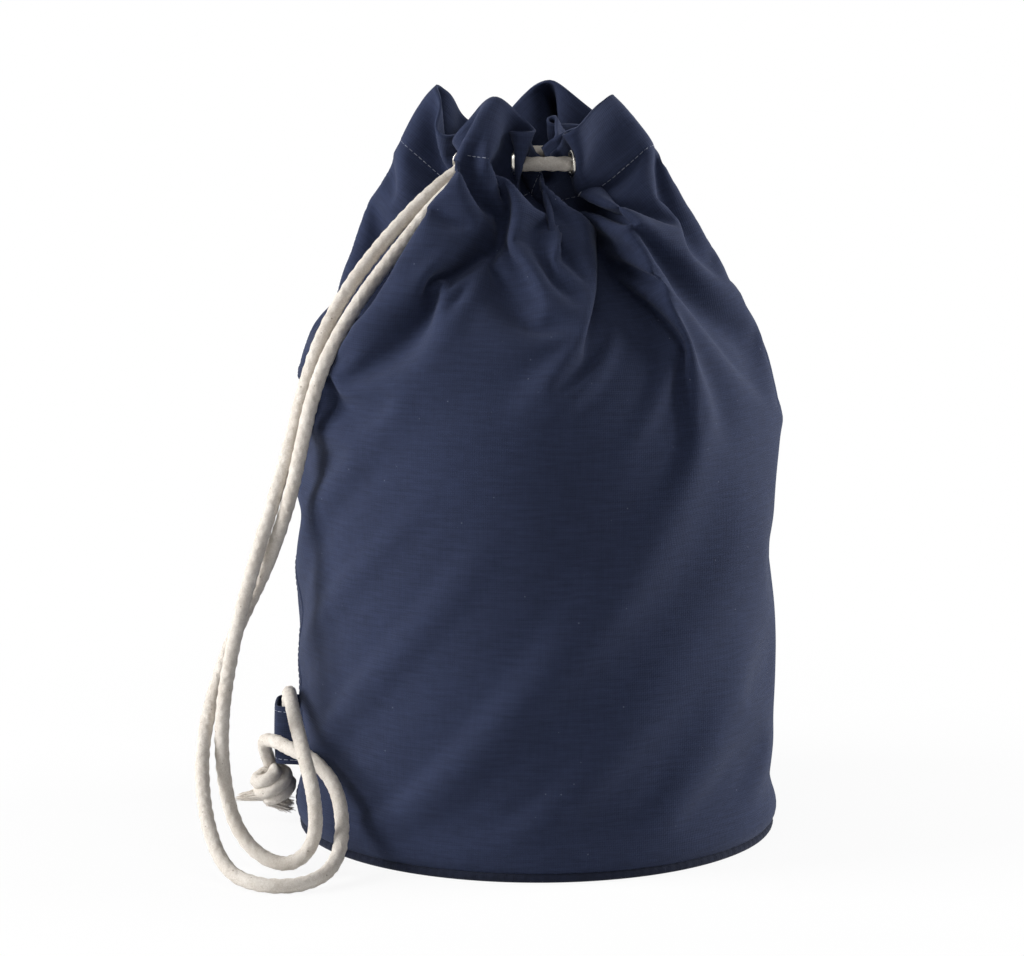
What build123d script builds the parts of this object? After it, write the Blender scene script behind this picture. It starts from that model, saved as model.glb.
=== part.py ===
from build123d import *
import os
from itertools import accumulate
from math import cos, pi, radians, sin, tan

# Drawstring backpack: a round canvas bag whose neck is gathered by one cotton cord
# through eight eyelets. Both ends of the cord hang down the side as the shoulder
# strap and are knotted at a cloth tab near the foot of the bag.
# Millimetres. +Z is up, -Y is the front, -X is the strap's side, and the origin is
# the centre of the base's underside.

# Bag
bag_radius = 140
cloth = 1.6  # the wall of the bag
neck_height = 391  # level of the eyelets
fold_edge_height = 413  # top edge of the cloth where it folds inwards
cut_overrun = 3  # how far the cut for the inside passes the wall's ends
edge_rise = 0.6  # climb of the top edge, per millimetre away from the folds
fold_radius = 21  # of the innermost folds, at the neck and above

# Base, and the welt of its seam
welt_height = 5
welt_width = 5
welt_round = 2
welt_proud = 1  # how far the welt stands out of the wall
base_thickness = 2.4

# Eyelets and their washers
eyelet_bore = 9.6
barrel_wall = 0.7
flange_diameter = 15.5
flange_height = 1.3
flange_round = 0.6
washer_thickness = 0.9
lip_height = 0.7  # the barrel's end, rolled out over the washer
lip_round = 0.3
eyelet_seat = 9  # half the width of the flat cloth that each one is set in

# Tab that holds the cord
tab_low = 37
tab_high = 74
tab_centre_y = 2
tab_outside_x = -153.4
tab_front_half = 12
tab_foot_half = 18
tab_foot_depth = 3  # its ends are drawn this far inside the wall before they are cut
tab_round = 4
tab_thickness = 1.5

# Cord
cord_diameter = 8
arc_share = 0.45  # part of a run that the arc at each end of it may use

# Knot and the frayed ends of the cord
knot_centre = (-155, -4, 23.5)
knot_half_width = 12.5
knot_radius = 11
tail_diameter = 7.5
fray_diameter = 10
tail_start = 7  # from the knot's centre
tail_tip_a = (-175, -3, 16)
tail_tip_b = (-149, -4, 12)

# The cord turns these corners inside the neck's ridges, and runs straight between
# them, from the strand behind (a) round the bag to the strand in front (b).
neck_corners = [
    (-41, 15, neck_height),
    (-1, 42, neck_height),
    (20, 36, neck_height),
    (45, -4, neck_height),
    (31, -38, neck_height),
    (-22, -38, neck_height),
]

# Strand a: down the side, round a loop on the floor, up, and down through the tab.
strand_a = [
    (-41, -10, 387),
    (-57, -21, 377),
    (-82, -36, 353),
    (-105, -50, 325),
    (-121, -61, 297),
    (-131, -65, 268),
    (-138, -60, 240),
    (-148, -57, 206),
    (-160, -63, 168),
    (-172, -72, 124),
    (-179, -83, 80),
    (-177, -92, 46),
    (-170, -97, 20),
    (-155, -106, 5),
    (-136, -118, 4),
    (-123, -123, 20),
    (-124, -118, 44),
    (-131, -96, 62),
    (-138, -62, 74),
    (-143, -30, 82),
    (-145, -8, 80),
    (-146, 0, 62),
    (-147, 8, 36),
]

# Strand b: beside strand a, round a wider loop, up behind strand a and past the tab.
strand_b = [
    (-40, -20, 383),
    (-57, -31, 369),
    (-79, -46, 343),
    (-101, -60, 315),
    (-118, -71, 286),
    (-127, -74, 260),
    (-133, -67, 233),
    (-140, -60, 202),
    (-153, -55, 164),
    (-171, -54, 128),
    (-184, -66, 94),
    (-190, -92, 62),
    (-185, -119, 29),
    (-172, -143, 7),
    (-151, -160, 4),
    (-128, -158, 4),
    (-112, -138, 8),
    (-108, -112, 24),
    (-113, -90, 43),
    (-127, -70, 54),
    (-140, -46, 53),
    (-153, -27, 55),
    (-162, -9, 50),
    (-157, 0, 34),
]
swing_run = 6  # the strap swings from the middle of the run after this point
swing_gap = 0.08  # share of that run left free, so that the swinging part can turn

# Neck: four ridges stand out between the eyelets, and the cloth folds in between.
# Each ridge has its angle at the shoulder and at the neck, and its radius there.
ridges = [(-6, -21, 72), (84, 80, 72), (158, 163, 88), (214, 239, 72)]
# The fold after each ridge: its angle at the shoulder and at the neck.
folds = [(38, 30), (121, 122), (200, 201), (284, 276)]
# The wall is upright to the shoulder. Between there and the neck each line draws in
# smoothly, early where it is a fold and later where it is a ridge.
shoulder_height = 250
neck_levels = [268, 288, 310, 336, 364, neck_height]
early_fold, early_seat, early_ridge = 1, 0.75, 0.5
# Above the neck each line leans in by its own amount per millimetre.
top_level = 440
fold_lean, inner_seat_lean, outer_seat_lean, ridge_lean = 0, 0.08, 0.2, 0.6

# Eyelets, in order along the cord from strand a. Each ridge has one on either side.
eyelet_centres = [
    (-41, 2.5, 389),
    (-34, 20, neck_height),
    (-8, 37, neck_height),
    (24, 29, neck_height),
    (41, 3, neck_height),
    (20, -38, neck_height),
    (-11, -38, neck_height),
    (-31, -29, 387),
]
eyelets_beside_ridge = [(5, 4), (3, 2), (1, 0), (7, 6)]


def bend_radii(route):
    """The radius of each corner, as large as its two runs allow."""
    points = [Vector(*point) for point in route]
    radii = []
    for before, corner, after in zip(points, points[1:], points[2:]):
        run_in, run_out = corner - before, after - corner
        half_turn = radians(run_in.get_angle(run_out) / 2)
        radii.append(arc_share * min(run_in.length, run_out.length) / tan(half_turn))
    return radii


def point_on_run(first, share):
    """A point on the run that starts at a corner of the whole cord."""
    start, end = cord_route[first : first + 2]
    return tuple(a + share * (b - a) for a, b in zip(start, end))


# One cord, from the knot up strand a, round the neck and down strand b to the knot.
cord_route = [*reversed(strand_a), *neck_corners, *strand_b]
cord_radii = bend_radii(cord_route)
print("cord radii", [round(radius) for radius in cord_radii])

# It is cut in the two eyelets that its strands leave by, and where the strap swings.
neck_start = len(strand_a)
neck_end = neck_start + len(neck_corners)
cut_a = neck_start - 2 - swing_run
cut_b = neck_end + swing_run + 1


def cord_stretch(first, last, start_share=0.5, end_share=0.5):
    """Builds the cord from the run before corner first to the run after corner last, cut
    at a share of each. The ends of the whole cord are points, not corners."""
    start = point_on_run(first - 1, start_share) if first else None
    end = point_on_run(last, end_share) if last < len(cord_route) - 1 else None
    corners = cord_route[max(first, 1) : min(last, len(cord_route) - 2) + 1]
    radii = cord_radii[max(first, 1) - 1 : min(last, len(cord_route) - 2)]
    points = [start or cord_route[0], *corners, end or cord_route[-1]]
    with BuildLine() as route:
        FilletPolyline(*points, radius=radii)
    path = route.wire()
    with BuildSketch(Plane(origin=path @ 0, z_dir=path % 0)) as section:
        Circle(cord_diameter / 2)
    sweep(sections=section.sketch, path=path)
    return path


def volume_ratio(part, path):
    return part.volume / (pi * cord_diameter**2 / 4 * path.length)


with BuildPart() as cord_neck:
    neck_path = cord_stretch(neck_start, neck_end - 1)
with BuildPart() as cord_upper_a:
    path_upper_a = cord_stretch(cut_a + 1, neck_start - 1, start_share=0.5 + swing_gap / 2)
with BuildPart() as cord_upper_b:
    path_upper_b = cord_stretch(neck_end, cut_b - 1, end_share=0.5 - swing_gap / 2)
with BuildPart() as cord_lower_a:
    path_lower_a = cord_stretch(0, cut_a, end_share=0.5 - swing_gap / 2)
with BuildPart() as cord_lower_b:
    path_lower_b = cord_stretch(cut_b, len(cord_route) - 1, start_share=0.5 + swing_gap / 2)
cords = {
    "cord_neck": (cord_neck, neck_path),
    "cord_upper_a": (cord_upper_a, path_upper_a),
    "cord_upper_b": (cord_upper_b, path_upper_b),
    "cord_lower_a": (cord_lower_a, path_lower_a),
    "cord_lower_b": (cord_lower_b, path_lower_b),
}
for name, (cord, path) in cords.items():
    ratio = volume_ratio(cord.part, path)
    print(name, "length", round(path.length), "volume over section times length", round(ratio, 3))


# Eyelets

def eyelet_plane(number):
    """On the cord where it passes an eyelet, with z_dir out of the bag along the cord."""
    nominal = Vertex(*eyelet_centres[number])
    centre = neck_path.distance_to_with_closest_points(nominal)[1]
    outward = neck_path.tangent_at(centre) * (1 if number % 2 else -1)
    return Plane(origin=centre, z_dir=outward)


eyelet_planes = [eyelet_plane(number) for number in range(len(eyelet_centres))]


# Wall of the bag

def on_circle(angle, radius):
    return Vector(radius * cos(radians(angle)), radius * sin(radians(angle)))


def seat_lines(number, ridge_angle, fold_angle):
    """The two lines of the wall, outer one first, that keep it flat across an eyelet."""
    plane = eyelet_planes[number]
    inward = Vector(-plane.z_dir.Y, plane.z_dir.X).normalized()
    if inward.dot(plane.origin) > 0:
        inward = -inward
    lines = []
    for share, side, lean in ((0.4, -1, outer_seat_lean), (0.7, 1, inner_seat_lean)):
        angle = ridge_angle + share * (fold_angle - ridge_angle)
        point = plane.origin + inward * (side * eyelet_seat)
        lines.append((angle, Vector(point.X, point.Y), early_seat, lean))
    return lines


# Each line of the wall: its angle at the shoulder, its point at the neck, how early it
# draws in below the neck, and its lean above it.
wall_lines = []
for number, (ridge_angle, neck_angle, neck_radius) in enumerate(ridges):
    before, after = eyelets_beside_ridge[number]
    fold_before = folds[number - 1][0] - (360 if number == 0 else 0)
    fold_angle, fold_neck_angle = folds[number]
    ridge_point = on_circle(neck_angle, neck_radius)
    fold_point = on_circle(fold_neck_angle, fold_radius)
    wall_lines += reversed(seat_lines(before, ridge_angle, fold_before))
    wall_lines.append((ridge_angle, ridge_point, early_ridge, ridge_lean))
    wall_lines += seat_lines(after, ridge_angle, fold_angle)
    wall_lines.append((fold_angle, fold_point, early_fold, fold_lean))


def wall_point(line, level):
    angle, neck_point, early, lean = line
    shoulder_point = on_circle(angle, bag_radius)
    if level > neck_height:
        return neck_point - neck_point.normalized() * (lean * (level - neck_height))
    rise = max(0, level - shoulder_height) / (neck_height - shoulder_height)
    drawn = early * (3 * rise**2 - 2 * rise**3) + (1 - early) * rise**2
    return shoulder_point * (1 - drawn) + neck_point * drawn


# Every section runs through its lines at the same parameters, so the loft can't twist.
# They are the distances along the outline at a level half way up the neck.
halfway = [wall_point(line, neck_levels[3]) for line in wall_lines]
steps = [(end - start).length for start, end in zip(halfway, halfway[1:] + halfway[:1])]
wall_parameters = [0, *accumulate(steps)]
levels = [welt_height, shoulder_height, *neck_levels, top_level]


def wall_sections(inset, overrun):
    """The wall's outline at each level, moved inwards by the inset. The lowest and
    highest sections are moved out past the ends by the overrun."""
    heights = [levels[0] - overrun, *levels[1:-1], levels[-1] + overrun]
    sections = []
    for level, height in zip(levels, heights):
        outline = [wall_point(line, level) for line in wall_lines]
        moved = []
        for before, here, after in zip(outline[-1:] + outline, outline, outline[1:] + outline[:1]):
            arriving, leaving = here - before, after - here
            along = arriving * leaving.length**2 + leaving * arriving.length**2
            moved.append(here + Vector(-along.Y, along.X).normalized() * inset)
        with BuildSketch(Plane.XY.offset(height)) as section:
            with BuildLine():
                add(Edge.make_spline(moved, periodic=True, parameters=wall_parameters))
            make_face()
        sections.append(section.sketch)
    return sections


edge_at_axis = fold_edge_height - edge_rise * fold_radius
barrel_radius = eyelet_bore / 2 + barrel_wall
with BuildPart() as body_panel:
    loft(sections=wall_sections(0, 0), ruled=True)
    loft(sections=wall_sections(cloth, cut_overrun), ruled=True, mode=Mode.SUBTRACT)
    with BuildSketch(Plane.XZ):
        with BuildLine():
            Polyline(
                (0, edge_at_axis),
                (bag_radius, edge_at_axis + edge_rise * bag_radius),
                (bag_radius, 2 * neck_height),
                (0, 2 * neck_height),
                close=True,
            )
        make_face()
    revolve(mode=Mode.SUBTRACT)
    for plane in eyelet_planes:
        with BuildSketch(plane):
            Circle(barrel_radius)
        extrude(amount=eyelet_seat, both=True, mode=Mode.SUBTRACT)

# Each eyelet has its flange on the outside of the cloth. Its barrel goes through the
# cloth and a washer, and is rolled out over the washer.
flange_radius = flange_diameter / 2
lip_radius = (barrel_radius + flange_radius) / 2
grip = cloth + washer_thickness
eyelets, washers = [], []
for plane in eyelet_planes:
    axis = Axis(plane.origin, plane.z_dir)
    profile_plane = Plane(origin=plane.origin, x_dir=plane.x_dir, z_dir=-plane.y_dir)
    with BuildPart() as eyelet:
        with BuildSketch(profile_plane):
            with BuildLine():
                Polyline(
                    (eyelet_bore / 2, -grip - lip_height),
                    (lip_radius, -grip - lip_height),
                    (lip_radius, -grip),
                    (barrel_radius, -grip),
                    (barrel_radius, 0),
                    (flange_radius, 0),
                    (flange_radius, flange_height),
                    (eyelet_bore / 2, flange_height),
                    close=True,
                )
            make_face()
            fillet(vertices().group_by(Axis.Y)[-1], flange_round)
            fillet(vertices().group_by(Axis.Y)[0], lip_round)
        revolve(axis=axis)
    eyelets.append(eyelet)
    with BuildPart() as washer:
        with BuildSketch(plane.offset(-grip)):
            Circle(flange_radius)
            Circle(barrel_radius, mode=Mode.SUBTRACT)
        extrude(amount=washer_thickness)
    washers.append(washer)

with BuildPart() as base_panel:
    Cylinder(
        bag_radius + welt_proud - welt_width,
        base_thickness,
        align=(Align.CENTER, Align.CENTER, Align.MIN),
    )

with BuildPart() as base_welt:
    with BuildSketch(Plane.XZ):
        with Locations((bag_radius + welt_proud - welt_width / 2, welt_height / 2)):
            Rectangle(welt_width, welt_height)
    revolve()
    outside = base_welt.edges().filter_by(GeomType.CIRCLE).group_by(SortBy.RADIUS)[-1]
    fillet(outside, welt_round)

# The tab is a loop of cloth on the wall, open at the top and bottom for the cord.
with BuildPart() as cord_tab:
    with BuildSketch(Plane.XY.offset(tab_low)):
        with BuildLine():
            foot_x = -bag_radius + tab_foot_depth
            FilletPolyline(
                (foot_x, tab_centre_y - tab_foot_half),
                (tab_outside_x, tab_centre_y - tab_front_half),
                (tab_outside_x, tab_centre_y + tab_front_half),
                (foot_x, tab_centre_y + tab_foot_half),
                radius=tab_round,
            )
            offset(amount=tab_thickness, side=Side.RIGHT, closed=True)
        make_face()
        Circle(bag_radius, mode=Mode.SUBTRACT)
    extrude(amount=tab_high - tab_low)

with BuildPart() as cord_knot:
    with BuildSketch(Plane(origin=knot_centre)):
        Ellipse(knot_half_width, knot_radius)
        with Locations((0, -knot_radius)):
            Rectangle(2 * knot_half_width, 2 * knot_radius, mode=Mode.SUBTRACT)
    revolve(axis=Axis(knot_centre, (1, 0, 0)))


def frayed_tail(tip):
    """A short tail that widens from inside the knot to its tip."""
    run = Vector(*tip) - Vector(*knot_centre)
    start = Vector(*knot_centre) + run.normalized() * tail_start
    with BuildSketch(Plane(origin=start, z_dir=run)) as root:
        Circle(tail_diameter / 2)
    with BuildSketch(Plane(origin=tip, z_dir=run)) as end:
        Circle(fray_diameter / 2)
    loft(sections=[root.sketch, end.sketch])


with BuildPart() as cord_tail_a:
    frayed_tail(tail_tip_a)
with BuildPart() as cord_tail_b:
    frayed_tail(tail_tip_b)

# Files
finished = {
    "body_panel": body_panel,
    "base_panel": base_panel,
    "base_welt": base_welt,
    "cord_tab": cord_tab,
    "cord_knot": cord_knot,
    "cord_tail_a": cord_tail_a,
    "cord_tail_b": cord_tail_b,
    **{name: cord for name, (cord, path) in cords.items()},
    **{f"eyelet_{number}": piece for number, piece in enumerate(eyelets, 1)},
    **{f"eyelet_washer_{number}": piece for number, piece in enumerate(washers, 1)},
}
os.makedirs("parts", exist_ok=True)
for name, piece in finished.items():
    piece.part.label = name
    export_step(piece.part, f"parts/{name}.step")
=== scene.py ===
from math import atan2, ceil, cos, pi, radians, sin, sqrt, tau

import bpy
import numpy as np
from mathutils import Matrix, Vector, noise


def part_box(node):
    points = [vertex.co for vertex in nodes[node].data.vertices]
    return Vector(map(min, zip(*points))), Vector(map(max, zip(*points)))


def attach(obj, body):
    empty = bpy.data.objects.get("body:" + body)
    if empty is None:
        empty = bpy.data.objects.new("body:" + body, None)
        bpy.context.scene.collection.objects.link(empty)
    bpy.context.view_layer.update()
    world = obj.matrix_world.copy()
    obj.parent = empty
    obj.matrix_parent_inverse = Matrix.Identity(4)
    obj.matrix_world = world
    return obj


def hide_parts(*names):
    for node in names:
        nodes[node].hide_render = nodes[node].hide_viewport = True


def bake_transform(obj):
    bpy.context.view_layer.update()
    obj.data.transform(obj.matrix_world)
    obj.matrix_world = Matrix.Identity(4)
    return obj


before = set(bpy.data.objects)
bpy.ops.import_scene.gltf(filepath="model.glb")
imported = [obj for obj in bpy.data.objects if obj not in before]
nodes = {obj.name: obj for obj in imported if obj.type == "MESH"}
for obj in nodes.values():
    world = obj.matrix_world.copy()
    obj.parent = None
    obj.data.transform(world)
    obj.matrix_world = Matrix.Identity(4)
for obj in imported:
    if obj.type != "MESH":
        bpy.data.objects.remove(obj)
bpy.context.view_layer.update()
print("frame loaded:", len(nodes), "nodes")

# Everything is in metres, with the front towards -Y and the strap on the -X side.
mm = 0.001


def linear(hexColour):
    channels = [int(hexColour[i:i + 2], 16) / 255 for i in (1, 3, 5)]
    curved = [c / 12.92 if c <= 0.04045 else ((c + 0.055) / 1.055) ** 2.4 for c in channels]
    return (*curved, 1)


def setInputs(tree, node, links):
    # Inputs go by name, or by number as i0, i1 and so on; a node stands for its first output
    for name, value in links.items():
        numbered = name[0] == "i" and name[1:].isdigit()
        socket = node.inputs[int(name[1:]) if numbered else name.replace("_", " ")]
        if isinstance(value, bpy.types.Node):
            value = value.outputs[0]
        if isinstance(value, bpy.types.NodeSocket):
            tree.links.new(value, socket)
        else:
            socket.default_value = value


def addNode(tree, kind, settings=None, **links):
    node = tree.nodes.new("ShaderNode" + kind)
    for name, value in (settings or {}).items():
        setattr(node, name, value)
    setInputs(tree, node, links)
    return node


def newMaterial(name, **shaderValues):
    material = bpy.data.materials.new(name)
    material.use_nodes = True
    tree = material.node_tree
    shader = tree.nodes["Principled BSDF"]
    setInputs(tree, shader, shaderValues)
    return material, tree, shader


def tubeFaces(rings, sectors, first=0):
    # Quads from each closed ring of points to the next, and a cap on each end
    index = np.arange(rings * sectors).reshape(rings, sectors) + first
    right = np.roll(index, -1, 1)
    faces = np.stack([index[:-1], right[:-1], right[1:], index[1:]], -1).reshape(-1, 4).tolist()
    return [*faces, index[0][::-1].tolist(), index[-1].tolist()]


def newObject(name, vertices, faces, material=None):
    mesh = bpy.data.meshes.new(name)
    mesh.from_pydata([tuple(v) for v in vertices], [], [tuple(f) for f in faces])
    mesh.update()
    mesh.shade_smooth()
    if material:
        mesh.materials.append(material)
    piece = bpy.data.objects.new(name, mesh)
    bpy.context.scene.collection.objects.link(piece)
    return piece


def applyModifiers(piece):
    evaluated = piece.evaluated_get(bpy.context.evaluated_depsgraph_get())
    mesh = bpy.data.meshes.new_from_object(evaluated)
    piece.modifiers.clear()
    piece.data = mesh


clothSet = {
    "yarn": 1.25 * mm,  # real canvas yarns are 0.6 mm; drawn twice as coarse, to show at all
    "slubLength": 16 * mm,  # thick places in a yarn run this far
    "washPatch": 70 * mm,  # size of the paler patches left by washing
    "fuzz": 0.9 * mm,
    "lintSpacing": 11 * mm,
    "relief": 0.22 * mm,
    "dye": "#171d31",
    "dyeWorn": "#2c3550",
    "weltDye": "#101421",
    "tabDye": "#141929",
    "lint": "#6b7285",
    "bloom": "#aab2c6",
}


def washedCanvas(name, dark, worn, unwrapped):
    # Plain-woven cotton canvas, piece-dyed and washed: matt, paler on the yarns' crowns,
    # streaked along its thicker yarns, with a soft bloom of fibres at grazing light
    material, tree, shader = newMaterial(name, Roughness=0.93, Sheen_Weight=0.1, Sheen_Roughness=0.45,
                                         Sheen_Tint=linear(clothSet["bloom"]), Specular_IOR_Level=0.25)
    if unwrapped:
        place = addNode(tree, "UVMap", {"uv_map": "cloth"}).outputs[0]
    else:
        place = addNode(tree, "TexCoord").outputs["Object"]
    # Plain weave: each yarn is a half wave, and warp and weft take turns on top
    count = addNode(tree, "VectorMath", {"operation": "SCALE"}, i0=place, Scale=pi / clothSet["yarn"])
    yarns = addNode(tree, "VectorMath", {"operation": "SINE"}, i0=count)
    x, y, _ = addNode(tree, "SeparateXYZ", i0=yarns).outputs
    over = addNode(tree, "Math", {"operation": "MULTIPLY"}, i0=x, i1=y)
    onTop = addNode(tree, "MapRange", {"interpolation_type": "SMOOTHSTEP"}, i0=over,
                    i1=-0.25, i2=0.25, i3=0.0, i4=1.0)
    warp, weft = [addNode(tree, "Math", {"operation": "ABSOLUTE"}, i0=way) for way in (x, y)]
    weave = addNode(tree, "Mix", {"data_type": "FLOAT"}, i0=onTop, i2=weft, i3=warp)
    # Slubs: thick places, long across the cloth and short up it, and the other way for the warp
    long = 1 / clothSet["slubLength"]
    thin = 0.6 / clothSet["yarn"]
    slubs = []
    for stretch in ((long, thin, long), (thin, long, long)):
        drawn = addNode(tree, "VectorMath", {"operation": "MULTIPLY"}, i0=place, i1=stretch)
        thick = addNode(tree, "TexNoise", Vector=drawn, Scale=1.0, Detail=2.0, Roughness=0.6)
        slubs.append(thick.outputs["Fac"])
    streaks = addNode(tree, "Math", {"operation": "MULTIPLY_ADD"}, i0=slubs[1], i1=0.45, i2=slubs[0])
    patches = addNode(tree, "TexNoise", Vector=place, Scale=1 / clothSet["washPatch"], Detail=4.0,
                      Roughness=0.6)
    fuzz = addNode(tree, "TexNoise", Vector=place, Scale=1 / clothSet["fuzz"], Detail=2.0)
    # How worn each place is: crowns, thick yarns and washed patches are paler
    wear = -0.62
    for source, gain in ((weave, 0.30), (streaks, 0.85), (patches, 0.45), (fuzz, 0.25)):
        layer = addNode(tree, "Math", {"operation": "MULTIPLY_ADD"}, i0=source, i1=gain, i2=wear)
        wear = layer
    layer.use_clamp = True
    colour = addNode(tree, "Mix", {"data_type": "RGBA"}, i0=wear, i6=linear(dark), i7=linear(worn))
    lint = addNode(tree, "TexVoronoi", Vector=place, Scale=1 / clothSet["lintSpacing"])
    dots = addNode(tree, "MapRange", i0=lint.outputs["Distance"], i1=0.02, i2=0.05, i3=0.5, i4=0.0)
    speckled = addNode(tree, "Mix", {"data_type": "RGBA"}, i0=dots,
                       i6=colour.outputs[2], i7=linear(clothSet["lint"]))
    relief = addNode(tree, "Math", {"operation": "MULTIPLY_ADD"}, i0=streaks, i1=0.8, i2=weave)
    bump = addNode(tree, "Bump", Height=relief, Strength=0.55, Distance=clothSet["relief"])
    setInputs(tree, shader, {"Base Color": speckled.outputs[2], "Normal": bump})
    return material


cottonSet = {
    "colour": "#f6f1ea",
    # shade and frayShade: partly random tone, partly painted shade in the dips between fibres
    "shade": "#c6bbae",
    "frayShade": "#cdc2b5",
    "husk": "#8a7a68",
    "bloom": "#fff6ea",
    "strand": 1.0 * mm,
    "frayStrand": 0.7 * mm,
    "huskSpacing": 7 * mm,
    "tonePatch": 14 * mm,
    "fuzzRelief": 0.8 * mm,
}


def rawCotton(name, shade, strand):
    # Undyed cotton, loosely spun and braided: creamy and matt, with fine fibres standing off it
    # and flecks of seed husk in it. Its tone varies at random in soft patches, and painted shade
    # darkens the dips between the fibres
    material, tree, shader = newMaterial(name, Roughness=0.95, Sheen_Weight=0.15, Sheen_Roughness=0.6,
                                         Sheen_Tint=linear(cottonSet["bloom"]), Specular_IOR_Level=0.1)
    place = addNode(tree, "TexCoord").outputs["Object"]
    soft = addNode(tree, "TexNoise", Vector=place, Scale=1 / cottonSet["tonePatch"], Detail=3.0)
    fibres = addNode(tree, "TexNoise", Vector=place, Scale=1 / strand, Detail=4.0, Roughness=0.7,
                     Distortion=0.8)
    # Painted shade: the fibre noise that raises the bump also lightens the colour, so the dips are darker
    tone = addNode(tree, "Math", {"operation": "MULTIPLY_ADD"}, i0=soft.outputs["Fac"], i1=0.7, i2=-0.6)
    tone = addNode(tree, "Math", {"operation": "MULTIPLY_ADD", "use_clamp": True},
                   i0=fibres.outputs["Fac"], i1=1.5, i2=tone)
    base = addNode(tree, "Mix", {"data_type": "RGBA"}, i0=tone, i6=linear(shade),
                   i7=linear(cottonSet["colour"]))
    husk = addNode(tree, "TexVoronoi", Vector=place, Scale=1 / cottonSet["huskSpacing"])
    flecks = addNode(tree, "MapRange", i0=husk.outputs["Distance"], i1=0.04, i2=0.09, i3=0.75, i4=0.0)
    flecked = addNode(tree, "Mix", {"data_type": "RGBA"}, i0=flecks, i6=base.outputs[2],
                      i7=linear(cottonSet["husk"]))
    bump = addNode(tree, "Bump", Height=fibres.outputs["Fac"], Strength=1.0,
                   Distance=cottonSet["fuzzRelief"])
    setInputs(tree, shader, {"Base Color": flecked.outputs[2], "Normal": bump})
    return material


threadSet = {
    "ply": 0.5 * mm,
    "relief": 0.06 * mm,
    # Each: the thread's colour, then the painted shade where its plies meet
    "pale": ("#9da3b1", "#6f7587"),
    "navy": ("#39415a", "#20263a"),
}


def spunThread(name, colour, shade):
    # Polyester-cotton sewing thread, tightly twisted: a faint gloss, and darker where the plies meet, which
    # is painted shade
    material, tree, shader = newMaterial(name, Roughness=0.62, Sheen_Weight=0.15)
    place = addNode(tree, "TexCoord").outputs["Object"]
    plies = addNode(tree, "TexNoise", Vector=place, Scale=1 / threadSet["ply"], Detail=2.0)
    # Painted shade: where the ply noise that also drives the bump is low, the colour goes to the darker shade
    tone = addNode(tree, "MapRange", i0=plies.outputs["Fac"], i1=0.35, i2=0.65)
    colours = addNode(tree, "Mix", {"data_type": "RGBA"}, i0=tone, i6=linear(shade), i7=linear(colour))
    bump = addNode(tree, "Bump", Height=plies.outputs["Fac"], Strength=0.4, Distance=threadSet["relief"])
    setInputs(tree, shader, {"Base Color": colours.outputs[2], "Normal": bump})
    return material


platingSet = {
    "scuff": 1.6 * mm,
    "relief": 0.05 * mm,
    "bright": "#d9d6cf",
    "tarnished": "#aaa69c",
}


def nickelPlatedBrass(name):
    # Brass eyelets pressed and nickel plated: bright and a little warm, with die marks and
    # dull scuffs where the cord rubs
    material, tree, shader = newMaterial(name, Metallic=1.0)
    place = addNode(tree, "TexCoord").outputs["Object"]
    scuffs = addNode(tree, "TexNoise", Vector=place, Scale=1 / platingSet["scuff"], Detail=5.0,
                     Roughness=0.65)
    dull = addNode(tree, "MapRange", i0=scuffs.outputs["Fac"], i1=0.35, i2=0.7, i3=0.16, i4=0.38)
    tarnish = addNode(tree, "Mix", {"data_type": "RGBA"}, i0=scuffs.outputs["Fac"],
                      i6=linear(platingSet["bright"]), i7=linear(platingSet["tarnished"]))
    bump = addNode(tree, "Bump", Height=scuffs.outputs["Fac"], Strength=0.25,
                   Distance=platingSet["relief"])
    setInputs(tree, shader, {"Base Color": tarnish.outputs[2], "Roughness": dull, "Normal": bump})
    return material


canvas = washedCanvas("washedCottonCanvas", clothSet["dye"], clothSet["dyeWorn"], True)
baseCanvas = washedCanvas("baseCottonCanvas", clothSet["dye"], clothSet["dyeWorn"], False)
weltCanvas = washedCanvas("pipingCanvas", clothSet["weltDye"], clothSet["dye"], False)
tabCanvas = washedCanvas("tabCanvas", clothSet["tabDye"], clothSet["dyeWorn"], True)
ropeCotton = rawCotton("braidedUndyedCotton", cottonSet["shade"], cottonSet["strand"])
frayCotton = rawCotton("frayedUndyedCotton", cottonSet["frayShade"], cottonSet["frayStrand"])
paleThread = spunThread("paleSewingThread", *threadSet["pale"])
navyThread = spunThread("navySewingThread", *threadSet["navy"])
plating = nickelPlatedBrass("nickelPlatedBrass")
print("materials made")


cameraSet = {
    "place": (0, -2.2, 0.577),
    "aim": (-0.0145, 0, 0.2049),
    "lens": 134.82,
}


def makeCamera():
    data = bpy.data.cameras.new("camera")
    data.lens = cameraSet["lens"]
    data.sensor_width = 36
    data.clip_end = 20
    camera = bpy.data.objects.new("camera", data)
    camera.location = cameraSet["place"]
    gaze = Vector(cameraSet["aim"]) - Vector(cameraSet["place"])
    camera.rotation_euler = gaze.to_track_quat("-Z", "Y").to_euler()
    bpy.context.scene.collection.objects.link(camera)
    bpy.context.scene.camera = camera


makeCamera()
print("camera placed")


cordSet = {
    "diameter": 8 * mm,
    "braidPitch": 30 * mm,  # length in which a yarn goes once round
    "yarnsEachWay": 4,
    "relief": 0.5 * mm,
    "grooveShare": 0.55,  # of the relief, below the rope's stated width
    "crossing": 0.6,  # how far one yarn rises where it passes over another
    "ringSpacing": 0.9 * mm,
    "sectors": 28,
    "unevenness": [(3.4 * mm, 0.18 * mm), (1.7 * mm, 0.16 * mm)],  # how wide and how deep
    "swingStart": (-0.131, -0.068, 0.268),  # a point on the strands' route
    "swingEnd": (-0.144, -0.058, 0.204),  # a lower point on the strands' route
}
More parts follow.
